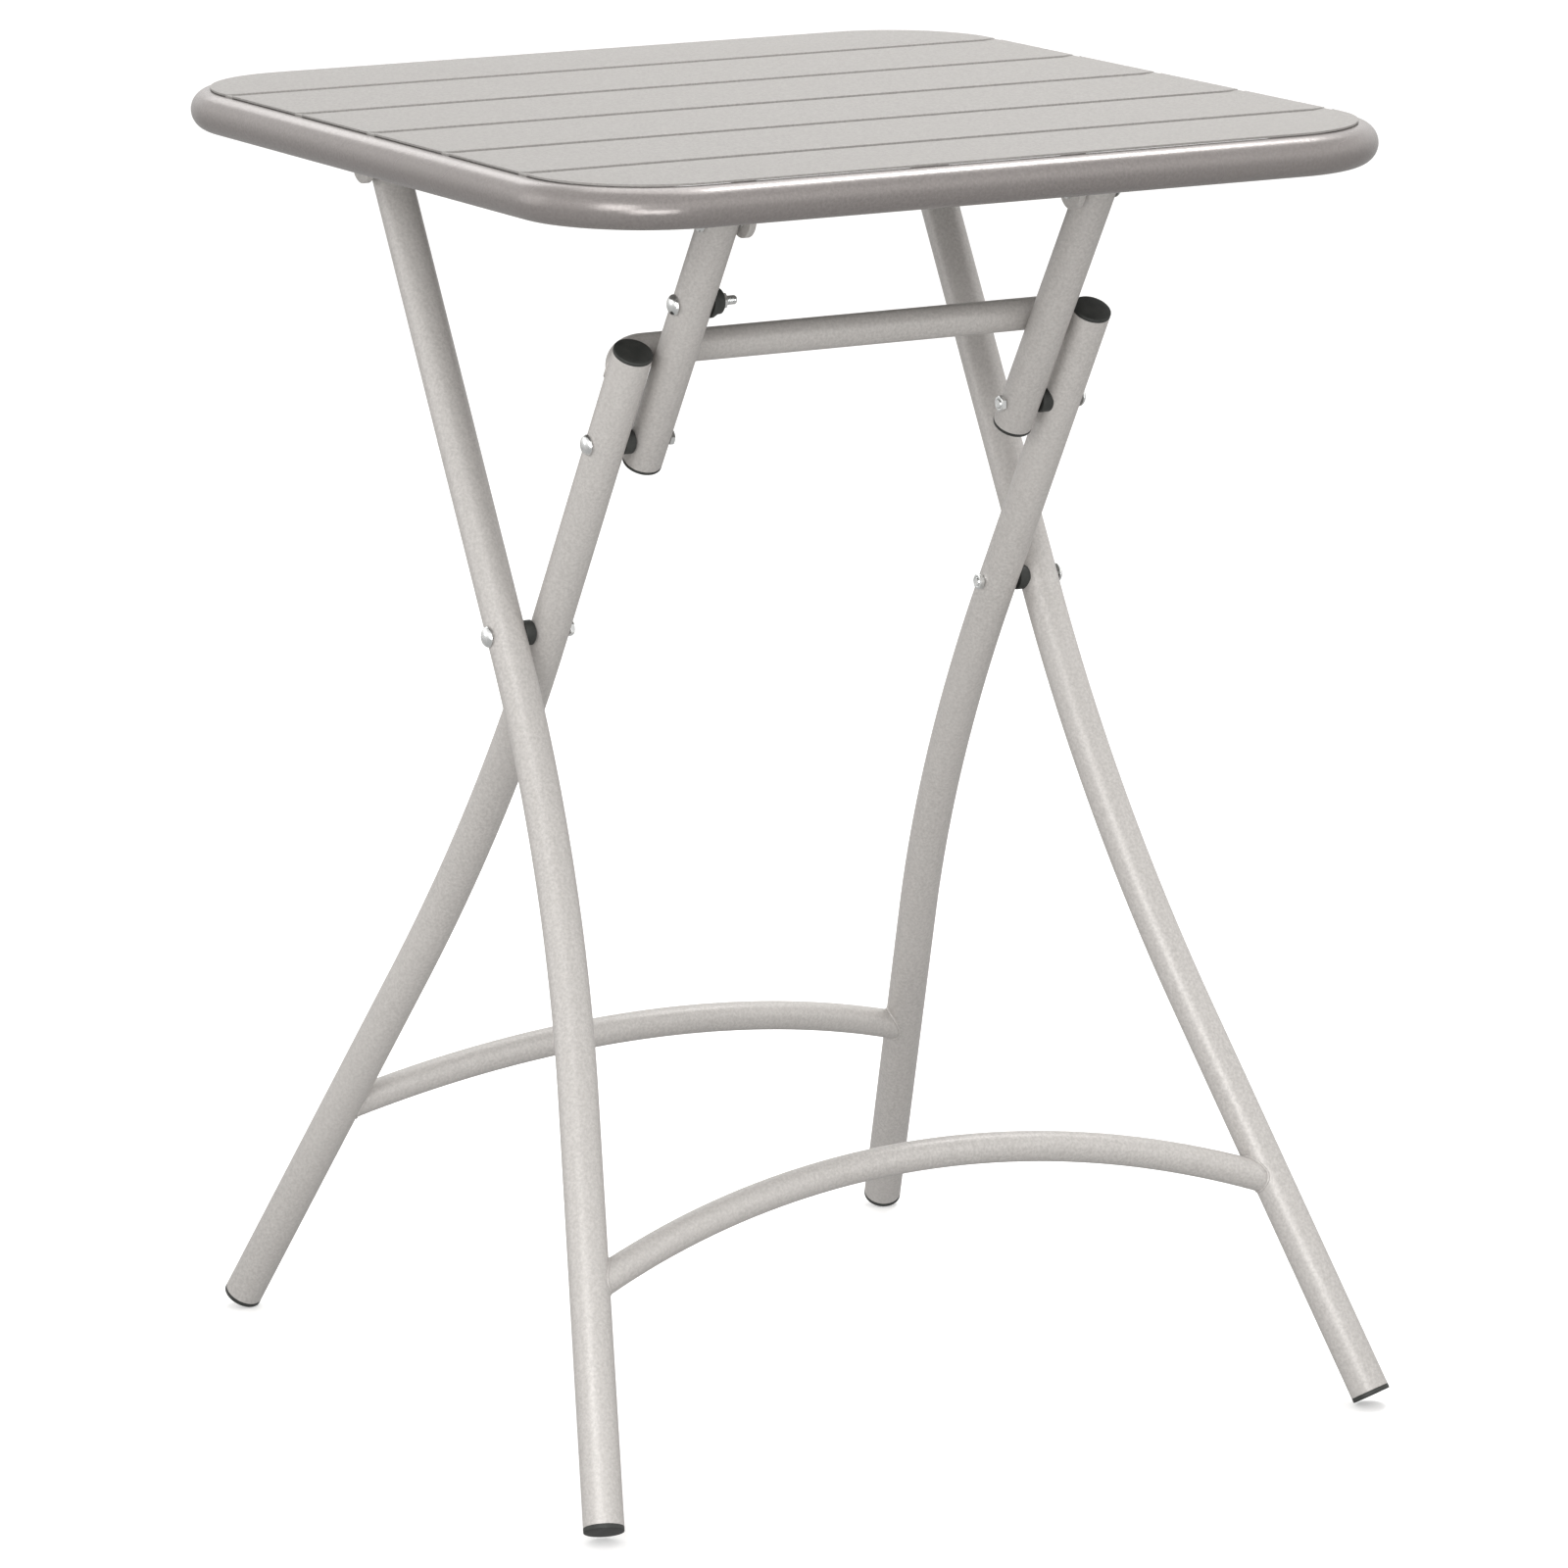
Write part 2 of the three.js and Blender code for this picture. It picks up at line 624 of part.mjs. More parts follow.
// The front hinge: one bolt through the link, a washer and the ear
function addFrontHinge(side) {
  const earFace = linkHalfWidth - legRadius - earGap;
  addEar(`front_ear_${side[0]}`, frontHingeX, side[1], earFace - earThickness / 2);
  const headFace = linkHalfWidth + legRadius + gap;
  const nutFace = earFace - earThickness - gap;
  const shank = headFace - nutFace + nutHeight + boltTail;
  const bolt = addPiece(links, `front_hinge_bolt_${side[0]}`, boltGeometry(shank), zinc);
  place(bolt, side[1], headFace, linkLength);
  const nut = addPiece(links, `front_hinge_nut_${side[0]}`, nutGeometry(), zinc);
  place(nut, side[1], nutFace, linkLength, false);
  const washer = addPiece(links, `front_hinge_washer_${side[0]}`, washerGeometry(earGap - 2 * gap), zinc);
  place(washer, side[1], earFace + gap, linkLength);
}

function addCap(group, name, side, distance, z, up, stem) {
  const cap = addPiece(group, name, plugGeometry(plugFlange, stem), blackPlastic);
  cap.position.set(0, side * distance, z + (up ? gap : -gap));
  cap.rotation.x = up ? 0 : Math.PI;
}

function addOuterFrame(side) {
  const reach = outerHingeReach + hingeEndReach;
  const pins = [0, outerHingeReach];
  const leg = legGeometry(outerHalfWidth, reach, outerSplay, outerLean, side[1], pins);
  addPiece(outerFrame, `outer_leg_${side[0]}`, leg, paint);
  addFoot(outerFrame, `outer_foot_${side[0]}`, outerHalfWidth, outerSplay, outerLean, side[1]);
  const shortStem = hingeEndReach - boltRadius - 2 * gap;
  addCap(outerFrame, `outer_cap_${side[0]}`, side[1], outerHalfWidth, reach, true, shortStem);
  addPivotBolt(outerFrame, 'cross', side, outerHalfWidth, innerHalfWidth, 0);
  addSpacer(outerFrame, 'cross', side, outerHalfWidth, 0);
}

function addInnerFrame(side) {
  const pins = [0, kneeDistance];
  const leg = legGeometry(innerHalfWidth, innerLegReach, innerSplay, innerLean, side[1], pins);
  addPiece(innerFrame, `inner_leg_${side[0]}`, leg, paint);
  addFoot(innerFrame, `inner_foot_${side[0]}`, innerHalfWidth, innerSplay, innerLean, side[1]);
  addCap(innerFrame, `inner_cap_${side[0]}`, side[1], innerHalfWidth, innerLegReach, true, plugStem);
  addPivotBolt(innerFrame, 'knee', side, innerHalfWidth, linkHalfWidth, kneeDistance);
  addSpacer(innerFrame, 'knee', side, innerHalfWidth, kneeDistance);
}

// A straight tube from below the knee pin to above the front hinge pin
function addLink(side) {
  const length = kneeEndReach + linkLength + hingeEndReach;
  const tube = new THREE.ExtrudeGeometry(ringShape(legRadius, legWall, tubeSides), {
    depth: length,
    bevelEnabled: false,
  });
  tube.translate(0, side[1] * linkHalfWidth, -kneeEndReach);
  const pins = [0, linkLength];
  if (side[1] < 0) {
    pins.push(stopRise);
  }
  const holes = pins.map((z) => rodAlongY(holeRadius, 2 * legDiameter, 0, side[1] * linkHalfWidth, z));
  addPiece(links, `link_${side[0]}`, cut(tube, ...holes), paint);
  const topStem = hingeEndReach - boltRadius - 2 * gap;
  addCap(links, `link_top_cap_${side[0]}`, side[1], linkHalfWidth, linkLength + hingeEndReach, true, topStem);
  addCap(links, `link_knee_cap_${side[0]}`, side[1], linkHalfWidth, -kneeEndReach, false, plugStem);
}

// The stop bolt on the left link: head outside, saddle and nut inside, and a free end
function addStopBolt() {
  const side = -1;
  const headFace = linkHalfWidth + legRadius + gap;
  const saddleFace = linkHalfWidth - legRadius - stopSaddleHeight;
  const nutFace = saddleFace - gap;
  const bolt = boltGeometry(headFace - nutFace + nutHeight + stopTail);
  place(addPiece(links, 'stop_bolt', bolt, zinc), side, headFace, stopRise);
  place(addPiece(links, 'stop_nut', nutGeometry(), zinc), side, nutFace, stopRise, false);
  const height = stopSaddleHeight + spacerWrap;
  const cone = new THREE.CylinderGeometry(spacerDiameter / 2, stopSaddleBase / 2, height, tubeSides);
  cone.rotateX(Math.PI).translate(0, height / 2, 0);
  const tubeAxis = new THREE.Vector3(0, linkHalfWidth - saddleFace, 0);
  const seat = cutterAlong(legRadius + gap, 2 * legDiameter, tubeAxis, new THREE.Vector3(0, 0, 1));
  const hole = rodAlongY(holeRadius, 4 * height, 0, 0, 0);
  const saddle = addPiece(links, 'stop_saddle', cut(cone, seat, hole), blackPlastic);
  place(saddle, side, saddleFace, stopRise);
}

addPanel();
addRim();
addRail('rear_rail', rearHingeX);
addRail('front_rail', frontHingeX);
for (const side of sides) {
  addRearHinge(side);
  addFrontHinge(side);
  addOuterFrame(side);
  addInnerFrame(side);
  addLink(side);
}
addPiece(outerFrame, 'outer_brace', braceGeometry(outerHalfWidth, outerSplay), paint);
addPiece(innerFrame, 'inner_brace', braceGeometry(innerHalfWidth, innerSplay), paint);
addPiece(innerFrame, 'inner_crossbar', crossbarGeometry(), paint);
addStopBolt();

export default table;
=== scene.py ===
import json
import math

import bpy
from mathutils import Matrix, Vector


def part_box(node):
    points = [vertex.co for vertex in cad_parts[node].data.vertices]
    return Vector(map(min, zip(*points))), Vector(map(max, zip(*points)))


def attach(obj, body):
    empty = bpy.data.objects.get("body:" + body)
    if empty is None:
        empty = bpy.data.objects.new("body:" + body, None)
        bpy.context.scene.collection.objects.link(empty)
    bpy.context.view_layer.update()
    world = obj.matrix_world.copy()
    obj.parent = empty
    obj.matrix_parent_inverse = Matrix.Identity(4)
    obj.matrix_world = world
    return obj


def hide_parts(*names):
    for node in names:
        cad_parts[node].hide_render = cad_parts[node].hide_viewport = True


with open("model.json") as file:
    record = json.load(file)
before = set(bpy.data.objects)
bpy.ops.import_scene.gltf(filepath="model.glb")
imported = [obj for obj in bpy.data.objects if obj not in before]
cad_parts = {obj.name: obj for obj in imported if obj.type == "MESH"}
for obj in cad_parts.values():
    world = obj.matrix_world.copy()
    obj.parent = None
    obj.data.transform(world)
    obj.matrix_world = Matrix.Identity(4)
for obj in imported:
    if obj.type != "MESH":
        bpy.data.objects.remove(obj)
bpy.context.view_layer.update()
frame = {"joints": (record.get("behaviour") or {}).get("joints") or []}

# Folding balcony table in powder-coated tube. Everything is in metres and +Z is up.
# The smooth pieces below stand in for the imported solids, each in the same place.

up = Vector((0, 0, 1))
across = Vector((0, 1, 0))
sides = {"left": -1, "right": 1}


def clearSelection():
    if bpy.context.mode != "OBJECT":
        bpy.ops.object.mode_set(mode="OBJECT")
    bpy.ops.object.select_all(action="DESELECT")


def pick(piece):
    clearSelection()
    piece.select_set(True)
    bpy.context.view_layer.objects.active = piece


def named(name):
    piece = bpy.context.object
    piece.name = name
    piece.data.name = name
    bpy.ops.object.transform_apply(location=True, rotation=True, scale=True)
    return piece


def editAll():
    bpy.ops.object.mode_set(mode="EDIT")
    bpy.ops.mesh.select_mode(type="VERT")
    bpy.ops.mesh.select_all(action="SELECT")


def turnTo(direction):
    return up.rotation_difference(direction).to_euler()


def startRing(name, centre, direction, radius, count=48):
    clearSelection()
    bpy.ops.mesh.primitive_circle_add(
        vertices=count, radius=radius, location=centre, rotation=turnTo(direction))
    piece = named(name)
    editAll()
    return piece


def pull(step):
    bpy.ops.mesh.extrude_region_move(TRANSFORM_OT_translate={"value": step})


def bend(centre, axis, angle, steps):
    # spin counts its angle the other way round
    bpy.ops.mesh.spin(steps=steps, angle=-angle, center=centre, axis=axis)


def tidyMesh(piece, merge=1e-6):
    pick(piece)
    editAll()
    bpy.ops.mesh.remove_doubles(threshold=merge)
    bpy.ops.mesh.normals_make_consistent(inside=False)
    bpy.ops.object.mode_set(mode="OBJECT")


def applyModifier(piece, kind, **settings):
    modifier = piece.modifiers.new(kind.lower(), kind)
    for key, value in settings.items():
        setattr(modifier, key, value)
    pick(piece)
    bpy.ops.object.modifier_apply(modifier=modifier.name)


def thicken(piece, wall):
    applyModifier(piece, "SOLIDIFY", thickness=wall, offset=-1, use_even_offset=True)


def soften(piece, width, segments=2, angle=40):
    applyModifier(piece, "BEVEL", width=width, segments=segments,
                  limit_method="ANGLE", angle_limit=math.radians(angle))


def carve(piece, tool, operation="DIFFERENCE"):
    applyModifier(piece, "BOOLEAN", object=tool, operation=operation, solver="EXACT")
    bpy.data.objects.remove(tool)


def rod(name, centre, direction, radius, length, count=48):
    clearSelection()
    bpy.ops.mesh.primitive_cylinder_add(vertices=count, radius=radius, depth=length,
                                        location=centre, rotation=turnTo(direction))
    return named(name)


def turned(name, centre, axis, profile, count=40):
    # one vertex is pulled along (radius, height) pairs and the line is spun about the axis
    out = axis.orthogonal().normalized()
    spots = [centre + axis * height + out * radius for radius, height in profile]
    clearSelection()
    bpy.ops.mesh.primitive_plane_add(size=0.001, location=spots[0])
    piece = named(name)
    editAll()
    bpy.ops.mesh.merge(type="CENTER")
    for before, after in zip(spots, spots[1:]):
        pull(after - before)
    bpy.ops.mesh.select_all(action="SELECT")
    bpy.ops.mesh.spin(steps=count, angle=2 * math.pi, center=centre, axis=axis)
    tidyMesh(piece)
    return piece


def roundOff(profile, corner, radius, steps=4):
    # swaps one sharp outside corner of a profile for a small quarter round
    before, point, after = (Vector(profile[corner + i]) for i in (-1, 0, 1))
    start = point + (before - point).normalized() * radius
    end = point + (after - point).normalized() * radius
    hub = start + end - point
    points = []
    for i in range(steps + 1):
        turn = (start - hub) * math.cos(i / steps * math.pi / 2)
        turn += (end - hub) * math.sin(i / steps * math.pi / 2)
        points.append(tuple(hub + turn))
    return profile[:corner] + points + profile[corner + 1:]


def finishPiece(piece, body, slotName, material, *nodes, angle=35):
    pick(piece)
    bpy.ops.object.shade_smooth_by_angle(angle=math.radians(angle))
    piece.data.materials.clear()
    piece.data.materials.append(material)
    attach(piece, body)
    if nodes:
        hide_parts(*nodes)
    return piece


def middle(node):
    low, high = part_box(node)
    return (low + high) / 2


# where the pins and the tubes' planes are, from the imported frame
jointPlace = {joint["name"]: Vector(joint["pos_m"]) for joint in frame["joints"]}
crossPivot = jointPlace["cross_pivot"]
kneePivot = jointPlace["knee_pivot"]
frontHinge = jointPlace["front_hinge"]
rearHinge = middle("rear_hinge_nut_right")
rearHinge.y = 0
outerUp = (rearHinge - crossPivot).normalized()
innerUp = (kneePivot - crossPivot).normalized()
linkUp = (frontHinge - kneePivot).normalized()
outerHalf = middle("outer_cap_right").y
innerHalf = middle("inner_cap_right").y
linkHalf = middle("link_top_cap_right").y

# one texture for the coat on all the steel; its tones are given where each coat is mixed
paintSizes = {
    "speckle": 620,       # noise scale of the coating's light and dark specks
    "grain": 1500,        # of its fine grain
    "peel": 420,          # and of its slight orange peel
    "cloud": 9,           # slow change of tone over the tubes
    "grainBump": 0.10,
    "peelBump": 0.16,
    "bumpDepth": 0.00035,
    "dulling": 0.94,          # tone of the cloudy parts against the light specks
    "cloudShare": 0.35,
    "smoother": 0.03,         # how far the roughness goes under and over its own value
    "rougher": 0.04,
}


def newMaterial(name):
    material = bpy.data.materials.new(name)
    material.use_nodes = True
    return material, material.node_tree.nodes, material.node_tree.links


def noiseOn(nodes, links, coordinates, scale, detail=2.0, roughness=0.5):
    noise = nodes.new("ShaderNodeTexNoise")
    noise.inputs["Scale"].default_value = scale
    noise.inputs["Detail"].default_value = detail
    noise.inputs["Roughness"].default_value = roughness
    links.new(coordinates, noise.inputs["Vector"])
    return noise.outputs["Fac"]


def spread(nodes, links, value, low, high, fromLow=0.3, fromHigh=0.7):
    ranged = nodes.new("ShaderNodeMapRange")
    ranged.inputs["From Min"].default_value = fromLow
    ranged.inputs["From Max"].default_value = fromHigh
    ranged.inputs["To Min"].default_value = low
    ranged.inputs["To Max"].default_value = high
    links.new(value, ranged.inputs["Value"])
    return ranged.outputs["Result"]


def blendColours(nodes, links, factor, first, second):
    mix = nodes.new("ShaderNodeMix")
    mix.data_type = "RGBA"
    for socket, colour in (("A", first), ("B", second)):
        entry = [i for i in mix.inputs if i.name == socket and i.type == "RGBA"][0]
        if isinstance(colour, tuple):
            entry.default_value = (*colour, 1)
        else:
            links.new(colour, entry)
    links.new(factor, mix.inputs[0])
    return [o for o in mix.outputs if o.type == "RGBA"][0]


def bumped(nodes, links, height, strength, distance, normal=None):
    bump = nodes.new("ShaderNodeBump")
    bump.inputs["Strength"].default_value = strength
    bump.inputs["Distance"].default_value = distance
    links.new(height, bump.inputs["Height"])
    if normal:
        links.new(normal, bump.inputs["Normal"])
    return bump.outputs["Normal"]


def coatedPaint(name, dark, light, metallic, rough):
    material, nodes, links = newMaterial(name)
    shader = nodes["Principled BSDF"]
    shader.inputs["Metallic"].default_value = metallic
    shader.inputs["Specular IOR Level"].default_value = 0.5
    place = nodes.new("ShaderNodeTexCoord").outputs["Object"]
    grain = noiseOn(nodes, links, place, paintSizes["grain"], 3, 0.6)
    peel = noiseOn(nodes, links, place, paintSizes["peel"], 1)
    cloud = noiseOn(nodes, links, place, paintSizes["cloud"], 3)
    specks = noiseOn(nodes, links, place, paintSizes["speckle"], 2, 0.65)
    contrast = spread(nodes, links, specks, 0, 1, 0.32, 0.68)
    speckled = blendColours(nodes, links, contrast, dark, light)
    dulled = tuple(paintSizes["dulling"] * value for value in light)
    cloudy = spread(nodes, links, cloud, 0, paintSizes["cloudShare"])
    links.new(blendColours(nodes, links, cloudy, speckled, dulled), shader.inputs["Base Color"])
    gloss = spread(nodes, links, cloud, rough - paintSizes["smoother"],
                   rough + paintSizes["rougher"])
    links.new(gloss, shader.inputs["Roughness"])
    normal = bumped(nodes, links, peel, paintSizes["peelBump"], paintSizes["bumpDepth"])
    normal = bumped(nodes, links, grain, paintSizes["grainBump"], paintSizes["bumpDepth"], normal)
    links.new(normal, shader.inputs["Normal"])
    return material


plating = {
    "smears": 320,            # noise scale of the dull and bright smears
    "fine": 2400,
    "dark": (0.80, 0.82, 0.82),
    "light": (0.94, 0.95, 0.94),
    "roughness": (0.14, 0.30),
    "bump": 0.12,
    "bumpDepth": 0.0002,
}


def platedSteel(name):
    material, nodes, links = newMaterial(name)
    shader = nodes["Principled BSDF"]
    shader.inputs["Metallic"].default_value = 1
    place = nodes.new("ShaderNodeTexCoord").outputs["Object"]
    smears = noiseOn(nodes, links, place, plating["smears"], 4)
    fine = noiseOn(nodes, links, place, plating["fine"], 2)
    tone = blendColours(nodes, links, spread(nodes, links, smears, 0, 1),
                        plating["dark"], plating["light"])
    links.new(tone, shader.inputs["Base Color"])
    links.new(spread(nodes, links, smears, *plating["roughness"]), shader.inputs["Roughness"])
    links.new(bumped(nodes, links, fine, plating["bump"], plating["bumpDepth"]),
              shader.inputs["Normal"])
    return material


moulding = {
    "grain": 1800,            # noise scale of the fine mould texture
    "cloud": 130,
    "dark": (0.020, 0.022, 0.020),
    "light": (0.038, 0.040, 0.037),
    "roughness": (0.48, 0.66),
    "bump": 0.25,
    "bumpDepth": 0.0003,
}


def mouldedPlastic(name):
    material, nodes, links = newMaterial(name)
    shader = nodes["Principled BSDF"]
    place = nodes.new("ShaderNodeTexCoord").outputs["Object"]
    grain = noiseOn(nodes, links, place, moulding["grain"], 3)
    cloud = noiseOn(nodes, links, place, moulding["cloud"], 2)
    tone = blendColours(nodes, links, spread(nodes, links, cloud, 0, 1),
                        moulding["dark"], moulding["light"])
    links.new(tone, shader.inputs["Base Color"])
    links.new(spread(nodes, links, grain, *moulding["roughness"]), shader.inputs["Roughness"])
    links.new(bumped(nodes, links, grain, moulding["bump"], moulding["bumpDepth"]),
              shader.inputs["Normal"])
    return material


# dark specks, light specks, metallic and roughness of each coat
framePaint = coatedPaint("warm grey frame coat", (0.43, 0.412, 0.394), (0.565, 0.543, 0.521),
                         0.15, 0.40)
sheetPaint = coatedPaint("warm grey sheet coat", (0.235, 0.225, 0.215), (0.32, 0.308, 0.295),
                         0.10, 0.55)
rimPaint = coatedPaint("warm grey rim coat", (0.225, 0.206, 0.199), (0.285, 0.263, 0.254),
                       0.42, 0.25)
zincPlate = platedSteel("bright zinc")
blackPlastic = mouldedPlastic("black moulded plastic")
print("finishes ready")

tube = {
    "legRadius": 0.011,
    "legWall": 0.0014,
    "sides": 56,
    "bendRadius": 1.270,      # of a leg's axis
    "bendStart": 0.008,       # below the crossing pivot
    "bendSteps": 28,
    "outerSplay": math.radians(11.5),
    "innerSplay": math.radians(11.2),
    "outerReach": 0.008,      # past the rear hinge pin
    "innerReach": 0.1932,     # past the crossing pivot
    "linkReach": 0.008,       # past the front hinge pin
    "linkTail": 0.0148,       # below the knee pin
    "footFlange": 0.0025,
    "endSoftness": 0.0003,
    "coping": 0.00005,        # a coped end stops this far off the other tube
    "copingSides": 96,
}


def spot(pivot, along, sideways, rise):
    return pivot + along * rise + across * sideways


def closeTube(piece, wall):
    tidyMesh(piece)
    thicken(piece, wall)
    soften(piece, tube["endSoftness"], 2, 60)


def bentLeg(name, body, pivot, along, half, side, reach, splay):
    # straight above the crossing, one long bend below it, and straight again to the foot
    radius = tube["legRadius"]
    piece = startRing(name, spot(pivot, along, side * half, reach), along, radius, tube["sides"])
    pull(along * -(reach + tube["bendStart"]))
    hub = spot(pivot, along, side * (half + tube["bendRadius"]), -tube["bendStart"])
    normal = across.cross(along)
    bend(hub, normal, side * splay, tube["bendSteps"])
    towards = across * side * math.sin(splay) - along * math.cos(splay)
    bendEnd = hub - across * side * tube["bendRadius"] * math.cos(splay)
    bendEnd -= along * tube["bendRadius"] * math.sin(splay)
    flare = math.sqrt(1 - towards.z ** 2)
    footFace = bendEnd + towards * ((bendEnd.z - radius * flare) / -towards.z)
    tubeEnd = footFace - towards * tube["footFlange"]
    pull(tubeEnd - bendEnd)
    bpy.ops.object.mode_set(mode="OBJECT")
    closeTube(piece, tube["legWall"])
    finishPiece(piece, body, "frame_paint", framePaint, name)
    return piece, bendEnd, tubeEnd, towards


legs = {}
outerReach = (rearHinge - crossPivot).length + tube["outerReach"]
for word, side in sides.items():
    legs["outer", word] = bentLeg(f"outer_leg_{word}", "outer_frame", crossPivot, outerUp,
                                  outerHalf, side, outerReach, tube["outerSplay"])
    legs["inner", word] = bentLeg(f"inner_leg_{word}", "inner_frame", crossPivot, innerUp,
                                  innerHalf, side, tube["innerReach"], tube["innerSplay"])
print("legs bent")

brace = {
    "radius": 0.0085,
    "wall": 0.0012,
    "arc": 0.550,
    "drop": 0.3215,           # from the crossing pivot to the highest point
    "sides": 48,
    "steps": 48,
    "weldRadius": 0.0008,
    "weldOffset": 0.0002,
    "weldBack": 2.2,          # leg radii from the leg's axis to where the ring is thrown from
    "passes": 6,              # to find where the arc meets the straight of the leg
}

# what all the beads share
bead = {
    "sides": 72,
    "resolution": 4,
    "unevenness": 0.35,       # of the bead's own radius
    "uniform": 0.2,
    "normal": 0.8,
    "smoothing": 0.5,
    "smoothings": 3,
}


def weldRing(name, centre, direction, radius, thick, target, seed):
    # a ring is thrown onto the other tube, then given a round, slightly uneven section
    clearSelection()
    bpy.ops.mesh.primitive_circle_add(vertices=bead["sides"], radius=radius, location=centre,
                                      rotation=turnTo(direction))
    piece = bpy.context.object
    piece.name = name
    applyModifier(piece, "SHRINKWRAP", target=target, wrap_method="PROJECT",
                  use_project_z=True, use_positive_direction=True, use_negative_direction=False)
    named(name)
    bpy.ops.object.convert(target="CURVE")
    piece.data.bevel_depth = thick
    piece.data.bevel_resolution = bead["resolution"]
    bpy.ops.object.convert(target="MESH")
    roughenWeld(piece, thick, seed)
    return piece


def roughenWeld(piece, thick, seed):
    tidyMesh(piece)
    editAll()
    bpy.ops.transform.vertex_random(offset=thick * bead["unevenness"], uniform=bead["uniform"],
                                    normal=bead["normal"], seed=seed)
    bpy.ops.mesh.vertices_smooth(factor=bead["smoothing"], repeat=bead["smoothings"])
    bpy.ops.object.mode_set(mode="OBJECT")
    piece.data.name = piece.name


def archedBrace(name, body, along, half, splay, family):
    # the arc springs from leg to leg and its ends are cut to the legs' outsides
    hub = spot(crossPivot, along, 0, -brace["drop"] - brace["arc"])
    normal = across.cross(along)
    flareY = half + tube["bendRadius"] * (1 - math.cos(splay))
    flareRise = -tube["bendStart"] - tube["bendRadius"] * math.sin(splay)
    reachAngle = math.asin(flareY / brace["arc"])
    for _ in range(brace["passes"]):
        rise = brace["arc"] * math.cos(reachAngle) - brace["drop"] - brace["arc"]
        reachAngle = math.asin((flareY + (flareRise - rise) * math.tan(splay)) / brace["arc"])
    startOut = across * -math.sin(reachAngle) + along * math.cos(reachAngle)
    startAlong = across * math.cos(reachAngle) + along * math.sin(reachAngle)
    piece = startRing(name, hub + startOut * brace["arc"], startAlong,
                      brace["radius"], brace["sides"])
    bend(hub, normal, -2 * reachAngle, brace["steps"])
    bpy.ops.object.mode_set(mode="OBJECT")
    closeTube(piece, brace["wall"])
    for word, side in sides.items():
        leg, bendEnd, tubeEnd, towards = legs[family, word]
        cutter = rod("cutter", (tubeEnd + bendEnd) / 2, towards,
                     tube["legRadius"] + tube["coping"],
                     (tubeEnd - bendEnd).length * 1.5, tube["copingSides"])
        carve(piece, cutter)
        endOut = across * side * math.sin(reachAngle) + along * math.cos(reachAngle)
        endAlong = across * side * math.cos(reachAngle) - along * math.sin(reachAngle)
        before = hub + endOut * brace["arc"] - endAlong * brace["weldBack"] * tube["legRadius"]
        weld = weldRing(f"{name}_weld_{word}", before, endAlong,
                        brace["radius"] + brace["weldOffset"], brace["weldRadius"],
                        leg, 3 + side)
        finishPiece(weld, body, "frame_paint", framePaint, angle=80)
    finishPiece(piece, body, "frame_paint", framePaint, name)


archedBrace("outer_brace", "outer_frame", outerUp, outerHalf, tube["outerSplay"], "outer")
archedBrace("inner_brace", "inner_frame", innerUp, innerHalf, tube["innerSplay"], "inner")

crossbar = {
    "radius": 0.009,
    "rise": 0.1782,           # from the crossing pivot, along the inner legs
    "bend": 0.0195,           # of the axis, where the ends turn towards the legs
    "bendSteps": 24,
    "sides": 48,
    "wall": 0.0012,
    "touch": 0.0003,          # left between it and a leg
    "weldRadius": 0.0009,
    "weldOffset": 0.0005,
    "weldBack": 0.018,        # from a leg's axis to where the ring is thrown from
    "cutterLength": 0.08,
}


def addCrossbar():
    # it runs behind the inner legs, and its ends turn forward and are cut to them
    backwards = innerUp.cross(across).normalized()
    if backwards.x > 0:
        backwards.negate()
    behind = tube["legRadius"] + crossbar["radius"] + crossbar["touch"]
    turn = crossbar["bend"]
    root = spot(crossPivot, innerUp, 0, crossbar["rise"])
    start = root + across * innerHalf + backwards * (behind - turn)
    piece = startRing("inner_crossbar", start, backwards, crossbar["radius"], crossbar["sides"])
    for side in (1, -1):
        hub = root + across * side * (innerHalf - turn) + backwards * (behind - turn)
        bend(hub, innerUp, math.pi / 2, crossbar["bendSteps"])
        if side > 0:
            pull(across * -2 * (innerHalf - turn))
    bpy.ops.object.mode_set(mode="OBJECT")
    closeTube(piece, crossbar["wall"])
    for word, side in sides.items():
        seat = root + across * side * innerHalf
        carve(piece, rod("cutter", seat, innerUp, tube["legRadius"] + tube["coping"],
                         crossbar["cutterLength"], tube["copingSides"]))
        weld = weldRing(f"inner_crossbar_weld_{word}", seat + backwards * crossbar["weldBack"],
                        -backwards, crossbar["radius"] + crossbar["weldOffset"],
                        crossbar["weldRadius"], legs["inner", word][0], 9 + side)
        finishPiece(weld, "inner_frame", "frame_paint", framePaint, angle=80)
    finishPiece(piece, "inner_frame", "frame_paint", framePaint, "inner_crossbar", angle=30)


addCrossbar()


def straightLink(word, side):
    start = spot(kneePivot, linkUp, side * linkHalf, -tube["linkTail"])
    end = spot(frontHinge, linkUp, side * linkHalf, tube["linkReach"])
    piece = startRing(f"link_{word}", start, linkUp, tube["legRadius"], tube["sides"])
    pull(end - start)
    bpy.ops.object.mode_set(mode="OBJECT")
    closeTube(piece, tube["legWall"])
    finishPiece(piece, "knee_links", "frame_paint", framePaint, f"link_{word}")


for word, side in sides.items():
    straightLink(word, side)
print("braces, crossbar and links ready")

# a thin flange over the tube's end and a plain stem inside it
plug = {
    "flange": 0.0020,
    "edge": 0.0007,
    "stem": 0.010,
    "shortStem": 0.0042,
    "stemRadius": 0.0090,
    "crown": 0.0004,          # the face swells this much
    "crownShare": 0.62,       # of the radius is the flat middle of the crown
    "footEdge": 0.0004,
}


